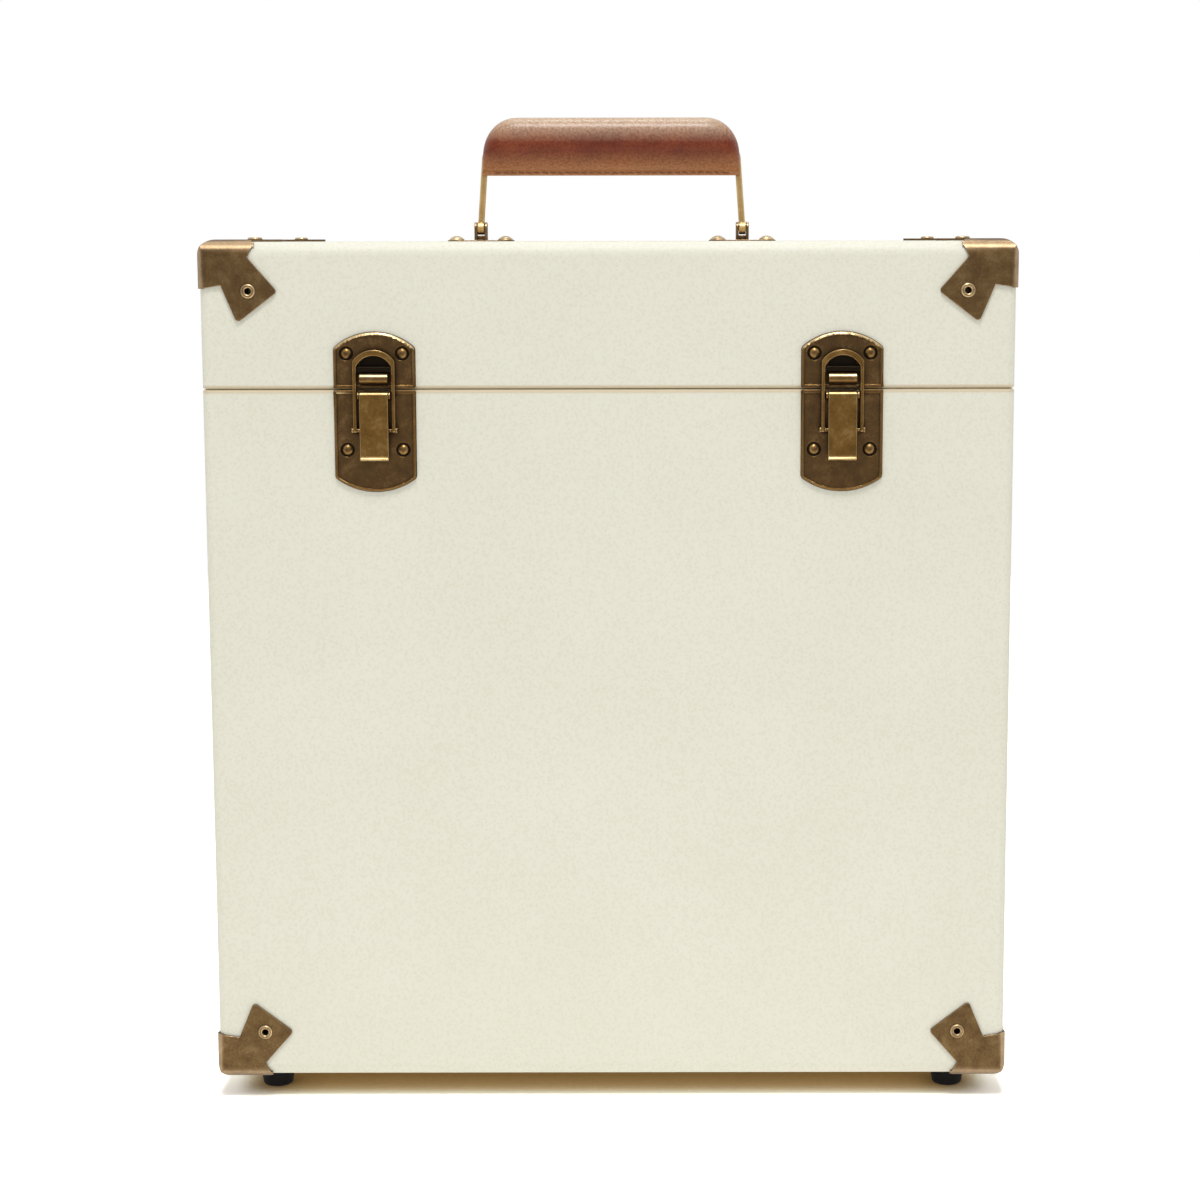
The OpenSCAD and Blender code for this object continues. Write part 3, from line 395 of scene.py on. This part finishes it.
# The loop's crossbar, further back than its rails, is painted nearly black as painted shade.
loop_brass = antique_brass("antiqued_latch_loop", "64491f", "805f30", "d2b07a", 0.9,
                           shade_heights=(3.92, 4.25))
rivet_brass = antique_brass("antiqued_rivet", "503a20", "6e5230", "b08c54", 0.8)
press(["latch_plate_left", "latch_plate_right", "catch_plate_left", "catch_plate_right"],
      STAMPED_EDGE_R, plate_brass, rim=PLATE_RIM_R)
press(["latch_lever_left", "latch_lever_right"], STAMPED_EDGE_R, lever_brass)
press(["latch_loop_left", "latch_loop_right"], LOOP_EDGE_R, loop_brass)
dress([n for n in nodes if n.startswith(("lever_pin", "loop_pin"))], lever_brass)
dress(["latch_plate_rivets", "catch_plate_rivets"], rivet_brass)


# ---- Hinges ----
# Two pressed butt hinges behind, five knuckles on a plain pin, riveted through the covering.

LEAF_EDGE_R = 0.35 * MM
# The leaves take the plates' brass, with its painted highlight and painted shade.
press([n for n in nodes if n.startswith("hinge_leaf")], LEAF_EDGE_R, plate_brass)
dress([n for n in nodes if n.startswith("hinge_pin")] + ["base_hinge_rivets", "lid_hinge_rivets"],
      rivet_brass)


# ---- Handle hardware ----
# Two riveted brackets with a pair of lugs each, and a bail bent from brass wire whose flattened
# eyes turn on pins between the lugs. The wire is rubbed bright by use.

BRACKET_EDGE_R = 0.3 * MM
wire_brass = antique_brass("rubbed_brass_wire", "b4905a", "d0ae74", "e8cc98", 0.5)
dress(["handle_wire"], wire_brass)
press(["handle_bracket_left", "handle_bracket_right"], BRACKET_EDGE_R, corner_brass)
dress(["handle_pins"], corner_brass)
dress(["handle_bracket_rivets"], eyelet_brass)


# ---- Leather grip ----
# Brown leather wrapped over a padded core round the bail, its two edges brought together under the
# grip and sewn through in a narrow lip. The crown of the grip is painted paler, a painted
# highlight.

grip_low, grip_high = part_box("handle_grip")
GRIP_LENGTH = grip_high.x - grip_low.x
GRIP_HEIGHT = grip_high.z - grip_low.z
GRIP_DEPTH = grip_high.y - grip_low.y
# Rounding of the ends as seen from the front and from above, and how far they lean in.
END_R = 16 * MM
PLAN_R = 8.5 * MM
END_LEAN = 1.3 * MM
# Half thickness and height of the sewn lip.
LIP_HALF = 2.1 * MM
LIP_H = 2.0 * MM
# Half section of the sewn leather, as shares of the half depth and of the height over the lip.
HALF_SECTION = [(0.24, 0.0), (0.42, 0.035), (0.68, 0.13), (0.88, 0.27), (0.985, 0.43),
                (1.0, 0.56), (0.965, 0.70), (0.86, 0.83), (0.68, 0.925), (0.42, 0.98), (0.0, 1.0)]
SECTION_STEPS = 5
STATIONS = 96
# The outermost stations stop this far short of the box's ends.
END_GAP = 0.01 * MM


def smooth_through(points, steps):
    """Catmull-Rom curve through 2D points, with that many steps between each pair."""
    result = []
    for i in range(len(points) - 1):
        p = [Vector(points[max(0, min(len(points) - 1, i + k))]) for k in (-1, 0, 1, 2)]
        for step in range(steps):
            t = step / steps
            result.append(0.5 * (2 * p[1] + (p[2] - p[0]) * t
                                 + (2 * p[0] - 5 * p[1] + 4 * p[2] - p[3]) * t * t
                                 + (3 * p[1] - p[0] - 3 * p[2] + p[3]) * t ** 3))
    return result + [Vector(points[-1])]


def corner_drop(distance, radius):
    """How far a quarter round has fallen, that far short of where its edge ends."""
    if distance >= radius:
        return 0.0
    return radius - math.sqrt(max(radius ** 2 - (radius - distance) ** 2, 0.0))


def grip_section(x):
    """Closed outline of the grip at one station along it, as (y, z) over the grip's underside."""
    from_end = GRIP_LENGTH / 2 - abs(x)
    height = GRIP_HEIGHT - corner_drop(from_end, END_R)
    half = GRIP_DEPTH / 2 - corner_drop(from_end, PLAN_R) * 0.86
    lip = min(LIP_HALF, half * 0.9)
    side = [Vector((lip * 0.55, 0.0)), Vector((lip * 0.9, 0.12 * MM)), Vector((lip, 0.5 * MM)),
            Vector((lip, LIP_H * 0.55)), Vector((lip * 0.97, LIP_H * 0.85))]
    side += [Vector((max(p.x * half, lip if p.y < 0.02 else 0.0), LIP_H + p.y * (height - LIP_H)))
             for p in smooth_through(HALF_SECTION, SECTION_STEPS)]
    other = [Vector((-p.x, p.y)) for p in reversed(side[:-1])]
    return side + other


def closed_loft(name, rings):
    """Mesh over rings of points, each ring joined to the next and both ends capped."""
    mesh = bpy.data.meshes.new(name)
    build = bmesh.new()
    rows = [[build.verts.new(p) for p in ring] for ring in rings]
    count = len(rows[0])
    for a, b in zip(rows, rows[1:]):
        for i in range(count):
            j = (i + 1) % count
            build.faces.new((a[i], b[i], b[j], a[j]))
    build.faces.new(rows[0])
    build.faces.new(list(reversed(rows[-1])))
    bmesh.ops.recalc_face_normals(build, faces=build.faces)
    for face in build.faces:
        face.smooth = True
    build.to_mesh(mesh)
    build.free()
    piece = bpy.data.objects.new(name, mesh)
    bpy.context.scene.collection.objects.link(piece)
    return piece


stations = []
for i in range(STATIONS + 1):
    # Stations crowd towards the ends, where the outline turns quickly.
    stations.append(math.sin((i / STATIONS - 0.5) * math.pi) * (GRIP_LENGTH / 2 - END_GAP))


def lean_in(x, z):
    """The ends of the grip lean in towards its crown."""
    return x - math.copysign(END_LEAN, x) * z / GRIP_HEIGHT * abs(2 * x / GRIP_LENGTH) ** 8


grip = closed_loft("leather_grip", [[(lean_in(x, p.y), p.x, grip_low.z + p.y)
                                     for p in grip_section(x)] for x in stations])

# Vegetable-tanned leather, pebbled and waxed: rich brown, with a painted highlight along the crown
# and painted light from below on the sewn edge.
CROWN_HIGHLIGHT_START, CROWN_HIGHLIGHT_FULL = 11.5 * MM, 0.5 * MM
UNDERSIDE_LIGHT_FADE = 10.5 * MM
hide, tree, shader, place = new_material("waxed_brown_leather")
pebble = add(tree, "ShaderNodeTexVoronoi",
             {"Vector": place, "Scale": per_mm(0.95), "Randomness": 1.0}, feature="SMOOTH_F1")
fine = add(tree, "ShaderNodeTexNoise", {"Vector": place, "Scale": per_mm(0.6), "Detail": 4.0})
hide_relief = add(tree, "ShaderNodeMath",
                  {0: fine.outputs[0], 1: 0.6, 2: pebble.outputs["Distance"]},
                  operation="MULTIPLY_ADD").outputs[0]
dye = add(tree, "ShaderNodeTexNoise", {"Vector": place, "Scale": per_mm(14), "Detail": 5.0})
dyed = ramp(tree, dye.outputs[0], [(0.3, "762e0e"), (0.72, "984b20")])
height = add(tree, "ShaderNodeSeparateXYZ", {0: place}).outputs["Z"]
# Painted highlight: the dye is painted paler towards the crown.
rub = add(tree, "ShaderNodeMapRange",
          {0: height, 1: grip_high.z - CROWN_HIGHLIGHT_START, 2: grip_high.z - CROWN_HIGHLIGHT_FULL,
           3: 0.0, 4: 0.85}).outputs[0]
dye_and_painted_light = add(tree, "ShaderNodeMixRGB", {0: rub, 1: dyed, 2: linear("e0d0b2")}).outputs[0]
# Painted light: the dye is painted lighter towards the sewn edge, standing for light thrown up
# from below.
edge = add(tree, "ShaderNodeMapRange",
           {0: height, 1: grip_low.z + UNDERSIDE_LIGHT_FADE, 2: grip_low.z,
            3: 0.0, 4: 0.95}).outputs[0]
dye_and_painted_light = add(tree, "ShaderNodeMixRGB", {0: edge, 1: dye_and_painted_light, 2: linear("d49c6a")}).outputs[0]
creases = ramp(tree, hide_relief, [(0.25, "ffffff"), (1.0, "cdb4a8")])
tree.links.new(add(tree, "ShaderNodeMixRGB", {0: 1.0, 1: dye_and_painted_light, 2: creases},
                   blend_type="MULTIPLY").outputs[0], shader.inputs["Base Color"])
shader.inputs["Roughness"].default_value = 0.42
shader.inputs["Specular IOR Level"].default_value = 0.2
shader.inputs["Coat Weight"].default_value = 0.4
shader.inputs["Coat Roughness"].default_value = 0.3
hide_bump = add(tree, "ShaderNodeBump",
                {"Height": hide_relief, "Strength": 0.4, "Distance": -0.25 * MM})
tree.links.new(hide_bump.outputs[0], shader.inputs["Normal"])
grip.data.materials.append(hide)
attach(grip, "handle")
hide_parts("handle_grip")


# ---- Stitching under the grip ----
# Waxed linen thread, one row of slanted lock stitches through the lip, showing on both faces.

STITCH_PITCH = 3.6 * MM
STITCH_LENGTH = 2.6 * MM
THREAD_R = 0.28 * MM
STITCH_ENDS = 6 * MM
STITCH_SLANT = 0.25 * MM
# How far the middle of a thread lies out from the lip, and how high up the lip, as shares.
THREAD_OUT = 0.3
STITCH_UP = 0.55
# A stitch's thickness along its length, pulled in where it enters the leather.
STITCH_SHAPE = ((0.0, 0.35), (0.12, 0.8), (0.3, 1.0), (0.7, 1.0), (0.88, 0.8), (1.0, 0.35))


def stitch_into(build, start, end, radius, sides=8):
    """Adds one stitch's thread between two points to a mesh being built."""
    along = (end - start).normalized()
    turn = along.to_track_quat("Z", "Y").to_matrix()
    rings = []
    for share, size in STITCH_SHAPE:
        centre = start.lerp(end, share)
        ring = []
        for k in range(sides):
            angle = 2 * math.pi * k / sides
            offset = turn @ Vector((math.cos(angle), math.sin(angle), 0))
            ring.append(build.verts.new(centre + offset * radius * size))
        rings.append(ring)
    for a, b in zip(rings, rings[1:]):
        for k in range(sides):
            build.faces.new((a[k], a[(k + 1) % sides], b[(k + 1) % sides], b[k]))
    build.faces.new(list(reversed(rings[0])))
    build.faces.new(rings[-1])


build = bmesh.new()
count = int((GRIP_LENGTH - 2 * STITCH_ENDS) / STITCH_PITCH)
for i in range(count + 1):
    x = (i - count / 2) * STITCH_PITCH
    for side in (-1, 1):
        y = side * (LIP_HALF + THREAD_R * THREAD_OUT)
        z = grip_low.z + LIP_H * STITCH_UP
        slant = Vector((STITCH_LENGTH / 2, 0, side * STITCH_SLANT))
        stitch_into(build, Vector((x, y, z)) - slant, Vector((x, y, z)) + slant, THREAD_R)
bmesh.ops.recalc_face_normals(build, faces=build.faces)
for face in build.faces:
    face.smooth = True
stitch_mesh = bpy.data.meshes.new("grip_stitching")
build.to_mesh(stitch_mesh)
build.free()
stitching = bpy.data.objects.new("grip_stitching", stitch_mesh)
bpy.context.scene.collection.objects.link(stitching)

# Waxed linen: a tight twist, matt, a shade lighter than the leather.
thread, tree, shader, place = new_material("waxed_linen_thread")
twist = add(tree, "ShaderNodeTexWave", {"Vector": place, "Scale": per_mm(1.2), "Distortion": 2.0})
tree.links.new(ramp(tree, twist.outputs[1], [(0.2, "7a4a30"), (0.8, "a06c4a")]),
               shader.inputs["Base Color"])
shader.inputs["Roughness"].default_value = 0.7
stitching.data.materials.append(thread)
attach(stitching, "handle")


# ---- Studio: floor, lamps and camera ----
# A sheet of white paper under the case and an even white surround. The main soft lamp hangs high
# in front, a weak one high behind, and a broad weak one stands in front.

PAPER_WIDTH = 3.2
SHADE_REACH = 40 * MM
bpy.ops.mesh.primitive_plane_add(size=PAPER_WIDTH, location=(0, 0, 0))
floor = bpy.context.object
floor.name = "floor"
paper, tree, shader, place = new_material("white_floor")
# Painted shadow: the paper is painted a warm brown where the case shuts off the light.
open_to = add(tree, "ShaderNodeAmbientOcclusion", {"Distance": SHADE_REACH}, samples=16)
tree.links.new(ramp(tree, open_to.outputs["AO"],
                    [(0.1, "846639"), (0.13, "a98e69"), (0.22, "a79574"), (0.28, "c9c2ac"),
                     (0.36, "f6f5f1")]), shader.inputs["Base Color"])
shader.inputs["Roughness"].default_value = 0.9
shader.inputs["Specular IOR Level"].default_value = 0.0
rays = add(tree, "ShaderNodeLightPath")
# To the camera the lit paper is white, and it keeps the shadow under the case.
twice = add(tree, "ShaderNodeAddShader", {0: shader.outputs[0], 1: shader.outputs[0]})
# To everything else the paper also glows, a painted light, a little stronger near the case.
away = add(tree, "ShaderNodeVectorMath", {0: place}, operation="LENGTH").outputs["Value"]
near = add(tree, "ShaderNodeMapRange", {0: away, 1: 0.15, 2: 0.6, 3: 0.3, 4: 0.14}).outputs[0]
glow = add(tree, "ShaderNodeEmission", {"Color": linear("ffffff"), "Strength": near})
lit = add(tree, "ShaderNodeAddShader", {0: shader.outputs[0], 1: glow.outputs[0]})
seen = add(tree, "ShaderNodeMixShader", {0: rays.outputs["Is Camera Ray"], 1: lit.outputs[0],
                                         2: twice.outputs[0]})
tree.links.new(seen.outputs[0], tree.nodes["Material Output"].inputs["Surface"])
floor.data.materials.append(paper)

world = bpy.data.worlds.new("studio")
bpy.context.scene.world = world
world.use_nodes = True
sky = world.node_tree
background = sky.nodes["Background"]
background.inputs["Color"].default_value = linear("ffffff")
rays = add(sky, "ShaderNodeLightPath")
# Metal sees a studio that is dim in front, lighter behind and to the sides, and bright overhead.
direction = add(sky, "ShaderNodeTexCoord").outputs["Generated"]
toward = add(sky, "ShaderNodeSeparateXYZ", {0: direction})
wall = add(sky, "ShaderNodeMapRange", {0: toward.outputs["Y"], 1: -0.4, 2: 0.4, 3: 0.18, 4: 0.52})
sideways = add(sky, "ShaderNodeMath", {0: toward.outputs["X"]}, operation="ABSOLUTE")
side = add(sky, "ShaderNodeMapRange", {0: sideways.outputs[0], 1: 0.45, 2: 0.95, 3: 0.0, 4: 0.45})
around = add(sky, "ShaderNodeMath", {0: wall.outputs[0], 1: side.outputs[0]}, operation="ADD")
dim = add(sky, "ShaderNodeMapRange", {0: toward.outputs["Z"], 1: 0.1, 2: 0.75,
                                      3: around.outputs[0], 4: 1.0})
# Matt surfaces get an even fill, a little stronger from both sides.
even = add(sky, "ShaderNodeMath", {0: side.outputs[0], 1: 0.42}, operation="ADD")
level = add(sky, "ShaderNodeMapRange", {0: rays.outputs["Is Glossy Ray"], 3: even.outputs[0],
                                        4: dim.outputs[0]})
shown = add(sky, "ShaderNodeMapRange", {0: rays.outputs["Is Camera Ray"], 3: level.outputs[0],
                                        4: 1.0})
sky.links.new(shown.outputs[0], background.inputs["Strength"])


def soft_lamp(name, place, aim, width, power):
    """A square white soft box that faces its aim."""
    data = bpy.data.lights.new(name, "AREA")
    data.size = width
    data.energy = power
    lamp = bpy.data.objects.new(name, data)
    lamp.location = place
    lamp.rotation_euler = (Vector(aim) - Vector(place)).to_track_quat("-Z", "Y").to_euler()
    bpy.context.scene.collection.objects.link(lamp)


soft_lamp("top_lamp", (0.0, -1.12, 2.7), (0, 0, 0.25), 0.6, 38)
soft_lamp("back_lamp", (0.0, 0.5, 2.2), (0, 0, 0.4), 0.5, 7)
soft_lamp("front_lamp", (0.0, -2.6, 1.1), (0, 0, 0.2), 1.6, 6)

# The camera stands level with the lid's top, a metre off, and looks a little down, in degrees.
CAMERA_PLACE = (21 * MM, -1126 * MM, 381 * MM)
CAMERA_PITCH = 7.6
CAMERA_ROLL = 0.1
CAMERA_SHIFT = (-0.0475, -0.0325)
LENS_LENGTH = 72.2
SENSOR_WIDTH = 36
lens = bpy.data.cameras.new("camera")
lens.lens = LENS_LENGTH
lens.sensor_width = SENSOR_WIDTH
lens.shift_x, lens.shift_y = CAMERA_SHIFT
camera = bpy.data.objects.new("camera", lens)
camera.location = CAMERA_PLACE
camera.rotation_euler = (math.radians(90 - CAMERA_PITCH), math.radians(CAMERA_ROLL), 0)
bpy.context.scene.collection.objects.link(camera)
bpy.context.scene.camera = camera
bpy.context.scene.view_settings.view_transform = "Standard"
